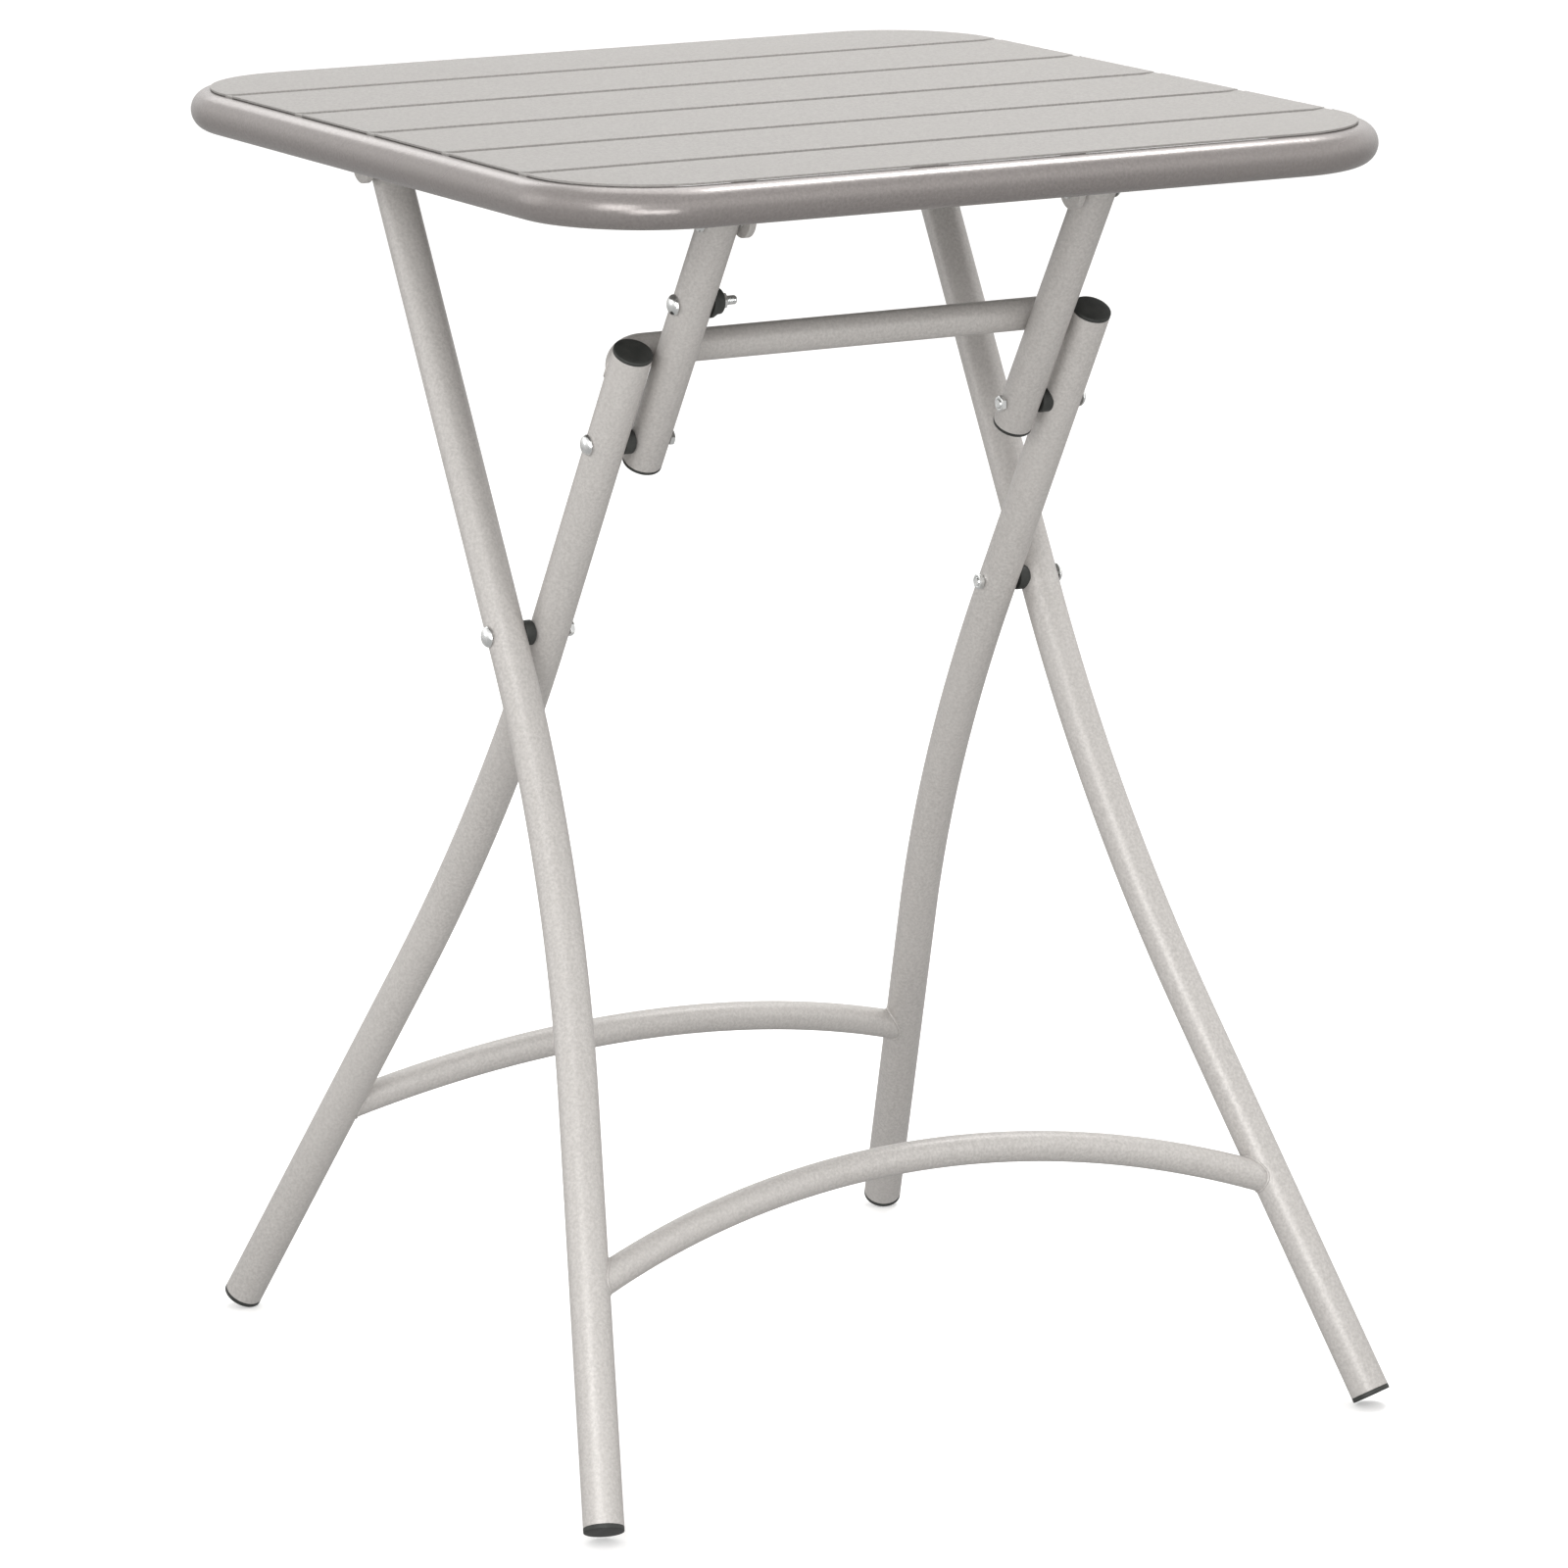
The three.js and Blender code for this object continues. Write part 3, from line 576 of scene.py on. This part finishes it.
def plugIn(name, body, seat, outwards, flange, stem, edge, crown):
    outside = tube["legRadius"]
    profile = [(0, -stem), (plug["stemRadius"], -stem), (plug["stemRadius"], 0), (outside, 0),
               (outside, flange), (outside * plug["crownShare"], flange + crown),
               (0, flange + crown)]
    profile = roundOff(profile, 4, edge)
    piece = turned(name, seat, outwards, profile, tube["sides"])
    finishPiece(piece, body, "black_plastic", blackPlastic, name, angle=50)


thin = (plug["flange"], plug["shortStem"], plug["edge"], plug["crown"])
deep = (plug["flange"], plug["stem"], plug["edge"], plug["crown"])
flat = (tube["footFlange"], plug["stem"], plug["footEdge"], 0)
for word, side in sides.items():
    for family, body in (("outer", "outer_frame"), ("inner", "inner_frame")):
        tubeEnd, towards = legs[family, word][2:]
        plugIn(f"{family}_foot_{word}", body, tubeEnd, towards, *flat)
    outerEnd = spot(rearHinge, outerUp, side * outerHalf, tube["outerReach"])
    innerEnd = spot(crossPivot, innerUp, side * innerHalf, tube["innerReach"])
    linkEnd = spot(frontHinge, linkUp, side * linkHalf, tube["linkReach"])
    kneeEnd = spot(kneePivot, linkUp, side * linkHalf, -tube["linkTail"])
    plugIn(f"outer_cap_{word}", "outer_frame", outerEnd, outerUp, *thin)
    plugIn(f"inner_cap_{word}", "inner_frame", innerEnd, innerUp, *deep)
    plugIn(f"link_top_cap_{word}", "knee_links", linkEnd, linkUp, *thin)
    plugIn(f"link_knee_cap_{word}", "knee_links", kneeEnd, -linkUp, *deep)
print("plugs ready")

hardware = {
    "shank": 0.0025,
    "root": 0.00212,          # bottom of the thread
    "pitch": 0.0008,
    "head": 0.0058,
    "headHeight": 0.0032,
    "neck": 0.0005,           # plain shank under the head
    "threadLength": 0.0095,
    "nutFlats": 0.008,
    "nutFace": 0.97,          # of the flats, where the nut's chamfer starts
    "nutChamfer": math.radians(30),
    "nutEdge": 0.00012,
    "nutBore": 0.0026,
    "boreEdge": 0.0003,
    "washer": 0.0050,
    "washerEdge": 0.00025,
    "spacer": 0.0070,
    "saddleBase": 0.0087,
    "saddleLip": 0.0005,
    "saddleGap": 0.00004,
    "saddleEdge": 0.0002,
}


def threaded(start, end):
    # ring grooves one pitch apart, from the shank's plain part to its chamfered end
    points = []
    for i in range(int((end - start) / hardware["pitch"])):
        low = start + i * hardware["pitch"]
        points.append((hardware["shank"], low + 0.06 * hardware["pitch"]))
        points.append((hardware["root"], low + 0.5 * hardware["pitch"]))
        points.append((hardware["shank"], low + 0.94 * hardware["pitch"]))
    points.append((hardware["root"], end))
    points.append((0, end))
    return points


def addBolt(node, body, side):
    low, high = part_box(node)
    centre = (low + high) / 2
    length = high.y - low.y
    head, height = hardware["head"], hardware["headHeight"]
    centre.y = high.y if side > 0 else low.y
    inwards = across * -side
    dome = [(0, 0), (head * 0.30, height * 0.04), (head * 0.55, height * 0.15),
            (head * 0.76, height * 0.34), (head * 0.91, height * 0.60),
            (head * 0.98, height * 0.80), (head, height * 0.93), (head * 0.985, height),
            (hardware["shank"], height)]
    threadStart = max(height + hardware["neck"], length - hardware["threadLength"])
    profile = dome + [(hardware["shank"], threadStart)] + threaded(threadStart, length)
    piece = turned(node, centre, inwards, profile, 48)
    finishPiece(piece, body, "zinc_hardware", zincPlate, node, angle=28)


def addStud(node, body):
    low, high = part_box(node)
    centre = (low + high) / 2
    centre.y = low.y
    profile = [(0, 0), (hardware["root"], 0)] + threaded(0, high.y - low.y)
    piece = turned(node, centre, across, profile, 32)
    finishPiece(piece, body, "zinc_hardware", zincPlate, node, angle=28)


def addNut(node, body, turn):
    # a chamfered ring cut to a hexagon
    low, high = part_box(node)
    centre = (low + high) / 2
    thick = high.y - low.y
    corner = hardware["nutFlats"] / 2 / math.cos(math.pi / 6)
    flats = hardware["nutFlats"] / 2
    bore = hardware["nutBore"]
    chamfer = (corner - flats) * 0.95 * math.tan(hardware["nutChamfer"])
    face, edge = flats * hardware["nutFace"], hardware["boreEdge"]
    ring = [(bore + edge, -thick / 2), (face, -thick / 2), (corner, -thick / 2 + chamfer),
            (corner, thick / 2 - chamfer), (face, thick / 2), (bore + edge, thick / 2),
            (bore, thick / 2 - edge), (bore, -thick / 2 + edge), (bore + edge, -thick / 2)]
    piece = turned(node, centre, across, ring, 48)
    clearSelection()
    bpy.ops.mesh.primitive_cylinder_add(vertices=6, radius=corner, depth=2 * thick, location=centre,
                                        rotation=(math.pi / 2, turn, 0))
    hexagon = named("hexagon")
    carve(piece, hexagon, "INTERSECT")
    soften(piece, hardware["nutEdge"], 1, 40)
    finishPiece(piece, body, "zinc_hardware", zincPlate, node, angle=25)


def addWasher(node, body):
    low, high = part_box(node)
    centre = (low + high) / 2
    half = (high.y - low.y) / 2
    inner, outer, edge = hardware["nutBore"], hardware["washer"], hardware["washerEdge"]
    ring = [(inner, -half), (outer - edge, -half), (outer, -half + edge), (outer, half - edge),
            (outer - edge, half), (inner, half), (inner, -half)]
    piece = turned(node, centre, across, ring, 48)
    finishPiece(piece, body, "zinc_hardware", zincPlate, node, angle=30)


def addSaddle(node, body, side, tubeCentre, tubeAlong, saddleRadius):
    # flat towards the middle of the table, hollowed to its tube on the outer side
    flatRadius, lip = hardware["spacer"], hardware["saddleLip"]
    low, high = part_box(node)
    centre = (low + high) / 2
    centre.y = low.y if side > 0 else high.y
    thick = high.y - low.y
    bore = hardware["nutBore"]
    profile = [(bore, 0), (flatRadius - lip, 0), (flatRadius, lip),
               (flatRadius * 0.94 + saddleRadius * 0.06, thick * 0.35),
               (saddleRadius, thick * 0.75), (saddleRadius, thick), (bore, thick), (bore, 0)]
    piece = turned(node, centre, across * side, profile, 56)
    carve(piece, rod("cutter", tubeCentre, tubeAlong,
                     tube["legRadius"] + hardware["saddleGap"], 0.06, 128))
    soften(piece, hardware["saddleEdge"], 2, 50)
    finishPiece(piece, body, "black_plastic", blackPlastic, node, angle=35)


# how far each nut is turned, in radians, so that no two stand alike
nutTurns = {"cross": 0.20, "knee": 0.75, "front_hinge": 0.45, "rear_hinge": 0.05, "stop": 0.35}
sideTurn = 0.3
for word, side in sides.items():
    for family, body in (("cross", "outer_frame"), ("knee", "inner_frame"),
                         ("front_hinge", "knee_links")):
        addBolt(f"{family}_bolt_{word}", body, side)
        addNut(f"{family}_nut_{word}", body, nutTurns[family] + sideTurn * side)
    addBolt(f"rear_hinge_bolt_{word}", "table_top", side)
    addStud(f"rear_hinge_stud_{word}", "outer_frame")
    addNut(f"rear_hinge_nut_{word}", "outer_frame", nutTurns["rear_hinge"] + sideTurn * side)
    addWasher(f"rear_hinge_washer_{word}", "table_top")
    addWasher(f"front_hinge_washer_{word}", "knee_links")
    crossSeat = spot(crossPivot, outerUp, side * outerHalf, 0)
    kneeSeat = spot(kneePivot, innerUp, side * innerHalf, 0)
    addSaddle(f"cross_spacer_{word}", "outer_frame", side, crossSeat, outerUp, hardware["spacer"])
    addSaddle(f"knee_spacer_{word}", "inner_frame", side, kneeSeat, innerUp, hardware["spacer"])
addBolt("stop_bolt", "knee_links", -1)
addNut("stop_nut", "knee_links", nutTurns["stop"])
stopSeat = spot(kneePivot, linkUp, -linkHalf, (middle("stop_saddle") - kneePivot).dot(linkUp))
addSaddle("stop_saddle", "knee_links", -1, stopSeat, linkUp, hardware["saddleBase"])
print("hardware ready")

# one round tube bent to a rounded square and closed on itself
rim = {
    "radius": 0.011,
    "wall": 0.0015,
    "corner": 0.067,          # of the axis, seen from above
    "sides": 56,
    "cornerSteps": 28,
    "vent": 0.0025,           # radius of the four holes in the tube's underside
}

rimLow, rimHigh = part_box("rim_tube")
rimX = rimHigh.x - rim["radius"]
rimY = rimHigh.y - rim["radius"]
rimZ = rimHigh.z - rim["radius"]


def addRim():
    start = Vector((rimX, 0, rimZ))
    piece = startRing("rim_tube", start, across, rim["radius"], rim["sides"])
    straightX = 2 * (rimX - rim["corner"])
    straightY = 2 * (rimY - rim["corner"])
    runs = [(Vector((0, straightY / 2, 0)), (1, 1)), (Vector((-straightX, 0, 0)), (-1, 1)),
            (Vector((0, -straightY, 0)), (-1, -1)), (Vector((straightX, 0, 0)), (1, -1))]
    for run, (cornerX, cornerY) in runs:
        pull(run)
        hub = Vector((cornerX * (rimX - rim["corner"]), cornerY * (rimY - rim["corner"]), rimZ))
        bend(hub, up, math.pi / 2, rim["cornerSteps"])
    pull(Vector((0, straightY / 2, 0)))
    tidyMesh(piece, 1e-5)
    thicken(piece, rim["wall"])
    for place in ((rimX, 0), (-rimX, 0), (0, rimY), (0, -rimY)):
        ventPlace = Vector((*place, rimZ - rim["radius"]))
        carve(piece, rod("vent", ventPlace, up, rim["vent"], rim["radius"], 32))
    finishPiece(piece, "table_top", "rim_paint", rimPaint, "rim_tube")


addRim()

# a rounded square with five pressed grooves
sheet = {
    "corner": 0.067,
    "cornerSteps": 24,
    "thickness": 0.0012,
    "edge": 0.00035,
    "grooves": 5,
    "pitch": 0.0866,
    "depth": 0.0016,
    "section": [              # distance from a groove's middle and share of its depth there
        (0.0056, 0), (0.0050, 0), (0.0045, 0.06), (0.0042, 0.22),
        (0.0039, 0.84), (0.0035, 1.0), (0.0025, 1.0)],
    "fade": 0.0075,           # a groove runs out in this length at the edge
    "fadeShare": 0.25,        # of its depth is left at the very end
}


def selectWhere(piece, test):
    bpy.ops.object.mode_set(mode="OBJECT")
    for vertex in piece.data.vertices:
        vertex.select = test(vertex.co)
    for edge in piece.data.edges:
        edge.select = all(piece.data.vertices[i].select for i in edge.vertices)
    for face in piece.data.polygons:
        face.select = False
    bpy.ops.object.mode_set(mode="EDIT")
    bpy.ops.mesh.select_mode(type="VERT")


def sliceAt(point, normal):
    bpy.ops.mesh.select_all(action="SELECT")
    bpy.ops.mesh.bisect(plane_co=point, plane_no=normal)


def addSheet():
    low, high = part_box("top_panel")
    clearSelection()
    bpy.ops.mesh.primitive_plane_add(size=1, location=(0, 0, high.z))
    piece = named("top_panel")
    editAll()
    bpy.ops.transform.resize(value=(high.x - low.x, high.y - low.y, 1))
    bpy.ops.mesh.bevel(affect="VERTICES", offset=sheet["corner"], segments=sheet["cornerSteps"])
    middles = [(i - (sheet["grooves"] - 1) / 2) * sheet["pitch"] for i in range(sheet["grooves"])]
    for x in middles:
        for offset, _ in sheet["section"]:
            sliceAt((x - offset, 0, 0), (1, 0, 0))
            sliceAt((x + offset, 0, 0), (1, 0, 0))
    for y in (high.y - sheet["fade"], low.y + sheet["fade"]):
        sliceAt((0, y, 0), (0, 1, 0))
    for x in middles:
        for offset, share in sheet["section"]:
            if share == 0:
                continue
            fall = -sheet["depth"] * share
            for atEnd, portion in ((False, 1), (True, sheet["fadeShare"])):
                selectWhere(piece, lambda place: abs(abs(place.x - x) - offset) < 1e-5
                            and (abs(place.y) > high.y - sheet["fade"] / 2) == atEnd)
                bpy.ops.transform.translate(value=(0, 0, fall * portion))
    bpy.ops.object.mode_set(mode="OBJECT")
    applyModifier(piece, "SOLIDIFY", thickness=sheet["thickness"], offset=-1)
    soften(piece, sheet["edge"], 3, 60)
    finishPiece(piece, "table_top", "top_sheet", sheetPaint, "top_panel", angle=22)


addSheet()
print("top ready")

under = {
    "railCorner": 0.0022,
    "railWall": 0.0015,
    "railGap": 0.00004,       # between a coped rail and the rim
    "earRound": 0.0005,
    "pinBore": 0.00275,       # radius of an ear's hole
    "earWeld": 0.0014,        # bead radius
    "earWeldShare": 0.85,     # of the ear's width
    "railWeld": 0.0017,
    "railWeldFoot": 0.001,    # a bead starts this far above the rail's underside
    "railWeldRise": 0.006,    # and ends this far above the rim's axis
    "railWeldAcross": (0.0005, -0.0002, 0.0012),
    "beadSteps": 6,
}


def addRail(name):
    # a box tube with open ends that are cut to the rim
    low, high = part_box(name)
    clearSelection()
    bpy.ops.mesh.primitive_cube_add(size=1, location=(low + high) / 2)
    piece = named(name)
    editAll()
    bpy.ops.transform.resize(value=(high.x - low.x, 2 * rimY, high.z - low.z),
                             center_override=(low + high) / 2)
    bpy.ops.mesh.select_all(action="DESELECT")
    bpy.ops.mesh.select_mode(type="EDGE")
    bpy.ops.object.mode_set(mode="OBJECT")
    for edge in piece.data.edges:
        first, second = (piece.data.vertices[i].co for i in edge.vertices)
        edge.select = abs(first.y - second.y) > 0.1
    bpy.ops.object.mode_set(mode="EDIT")
    bpy.ops.mesh.bevel(offset=under["railCorner"], segments=5, affect="EDGES")
    bpy.ops.mesh.select_all(action="DESELECT")
    bpy.ops.object.mode_set(mode="OBJECT")
    for face in piece.data.polygons:
        face.select = abs(face.normal.y) > 0.9
    bpy.ops.object.mode_set(mode="EDIT")
    bpy.ops.mesh.select_mode(type="FACE")
    bpy.ops.mesh.delete(type="ONLY_FACE")
    tidyMesh(piece)
    thicken(piece, under["railWall"])
    for side in sides.values():
        place = Vector(((low.x + high.x) / 2, side * rimY, rimZ))
        carve(piece, rod("cutter", place, Vector((1, 0, 0)), rim["radius"] + under["railGap"],
                         0.05, 128))
    finishPiece(piece, "table_top", "frame_paint", framePaint, name, angle=30)


def weldLine(name, points, thick, seed):
    clearSelection()
    bpy.ops.mesh.primitive_plane_add(size=0.001, location=points[0])
    piece = named(name)
    editAll()
    bpy.ops.mesh.merge(type="CENTER")
    for before, after in zip(points, points[1:]):
        for _ in range(under["beadSteps"]):
            pull((after - before) / under["beadSteps"])
    bpy.ops.object.mode_set(mode="OBJECT")
    bpy.ops.object.convert(target="CURVE")
    piece.data.bevel_depth = thick
    piece.data.bevel_resolution = bead["resolution"]
    piece.data.use_fill_caps = True
    bpy.ops.object.convert(target="MESH")
    roughenWeld(piece, thick, seed)
    finishPiece(piece, "table_top", "frame_paint", framePaint, angle=80)


def addEar(name, seed):
    # a flat plate with a round lower end about the hinge pin, and a bead on each face
    low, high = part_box(name)
    radius = (high.x - low.x) / 2
    centreX = (high.x + low.x) / 2
    pin = Vector((centreX, (low.y + high.y) / 2, low.z + radius))
    piece = rod(name, pin, across, radius, high.y - low.y, 64)
    editAll()
    sliceAt(pin, (0, 0, 1))
    selectWhere(piece, lambda place: place.z > pin.z + 1e-6)
    bpy.ops.mesh.delete(type="VERT")
    selectWhere(piece, lambda place: place.z > pin.z - 1e-6)
    bpy.ops.mesh.edge_face_add()
    pull(Vector((0, 0, high.z - pin.z)))
    tidyMesh(piece)
    carve(piece, rod("bore", pin, across, under["pinBore"], 0.02, 40))
    soften(piece, under["earRound"], 3, 50)
    finishPiece(piece, "table_top", "frame_paint", framePaint, name, angle=30)
    half = radius * under["earWeldShare"]
    for place, y in (("near", low.y), ("far", high.y)):
        line = [Vector((centreX - half, y, high.z)), Vector((centreX + half, y, high.z))]
        weldLine(f"{name}_weld_{place}", line, under["earWeld"], seed)


def addRailWelds(name, seed):
    low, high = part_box(name)
    for word, side in sides.items():
        for place, x in (("front", high.x), ("back", low.x)):
            y = side * (rimY - rim["radius"])
            heights = (low.z + under["railWeldFoot"], rimZ, rimZ + under["railWeldRise"])
            line = [Vector((x, y + side * step, height))
                    for step, height in zip(under["railWeldAcross"], heights)]
            weldLine(f"{name}_weld_{place}_{word}", line, under["railWeld"], seed + side)


for index, name in enumerate(("rear_rail", "front_rail")):
    addRail(name)
    addRailWelds(name, 20 + 3 * index)
earNames = ("rear_ear_left", "rear_ear_right", "front_ear_left", "front_ear_right")
for index, name in enumerate(earNames):
    addEar(name, 40 + index)
print("rails and ears ready")

stage = {
    "size": 60,
    "floorDrop": 0.0004,
    "floor": (0.90, 0.90, 0.895),
    "floorGlow": 0.26,
    "sky": [                  # height from straight down (0) to straight up (1), and brightness
        (0.0, 0.44), (0.36, 0.50), (0.50, 0.80), (0.62, 1.18),
        (0.76, 1.18), (0.84, 0.80), (1.0, 0.74)],
    "skyTint": (1, 0.99, 0.98),
    "cameraPlace": (3.6395, -2.0831, 1.2843),
    "cameraLook": (0.0060, 0.0020, 0.3364),
    "lens": 176.06,
    "sensor": 36,
}


def addFloor():
    clearSelection()
    bpy.ops.mesh.primitive_plane_add(size=stage["size"], location=(0, 0, -stage["floorDrop"]))
    floor = named("floor")
    material, nodes, links = newMaterial("pale floor")
    shader = nodes["Principled BSDF"]
    shader.inputs["Base Color"].default_value = (*stage["floor"], 1)
    shader.inputs["Roughness"].default_value = 0.9
    shader.inputs["Specular IOR Level"].default_value = 0.1
    shader.inputs["Emission Color"].default_value = (1, 1, 1, 1)
    shader.inputs["Emission Strength"].default_value = stage["floorGlow"]
    floor.data.materials.append(material)
    floor.visible_diffuse = False
    floor.visible_glossy = False


def addSoftbox(name, place, target, width, height, power):
    clearSelection()
    bpy.ops.object.light_add(type="AREA", location=place)
    light = bpy.context.object
    light.name = name
    light.data.shape = "RECTANGLE"
    light.data.size = width
    light.data.size_y = height
    light.data.energy = power
    light.rotation_euler = (Vector(target) - Vector(place)).to_track_quat("-Z", "Y").to_euler()


def addWorld():
    world = bpy.data.worlds.new("studio")
    bpy.context.scene.world = world
    world.use_nodes = True
    nodes, links = world.node_tree.nodes, world.node_tree.links
    direction = nodes.new("ShaderNodeTexCoord").outputs["Generated"]
    split = nodes.new("ShaderNodeSeparateXYZ")
    links.new(direction, split.inputs["Vector"])
    height = spread(nodes, links, split.outputs["Z"], 0, 1, -1, 1)
    ramp = nodes.new("ShaderNodeValToRGB")
    bands = ramp.color_ramp.elements
    while len(bands) < len(stage["sky"]):
        bands.new(0.5)
    for band, (position, strength) in zip(bands, stage["sky"]):
        band.position = position
        band.color = (strength, strength, strength, 1)
    links.new(height, ramp.inputs["Fac"])
    links.new(ramp.outputs["Color"], nodes["Background"].inputs["Strength"])
    nodes["Background"].inputs["Color"].default_value = (*stage["skyTint"], 1)


def addCamera():
    clearSelection()
    bpy.ops.object.camera_add(location=stage["cameraPlace"])
    camera = bpy.context.object
    camera.name = "camera"
    camera.data.lens = stage["lens"]
    camera.data.sensor_width = stage["sensor"]
    camera.data.clip_end = 100
    look = Vector(stage["cameraLook"]) - camera.location
    camera.rotation_euler = look.to_track_quat("-Z", "Y").to_euler()
    bpy.context.scene.camera = camera


addFloor()
# name, place, what it points at, width, height and power
addSoftbox("overhead softbox", (-0.5, 0.6, 2.4), (0, 0, 0.5), 1.8, 1.8, 20)
addSoftbox("front softbox", (2.2, -2.6, 1.4), (0, 0, 0.4), 1.6, 1.6, 33)
addSoftbox("low softbox", (2.6, -1.2, 0.25), (0, 0, 0.4), 1.6, 0.8, 24)
addSoftbox("side softbox", (-1.5, -2.4, 1.2), (0, 0, 0.4), 1.2, 1.6, 5)
addSoftbox("edge light", (-0.26, 1.03, 2.47), (0.25, 0, 0.7), 0.4, 0.4, 13)
addSoftbox("back softbox", (-2.2, 0.05, 2.1), (0, 0, 0.5), 0.9, 0.9, 5)
addWorld()
addCamera()
bpy.context.scene.view_settings.view_transform = "Standard"
print("stage ready")
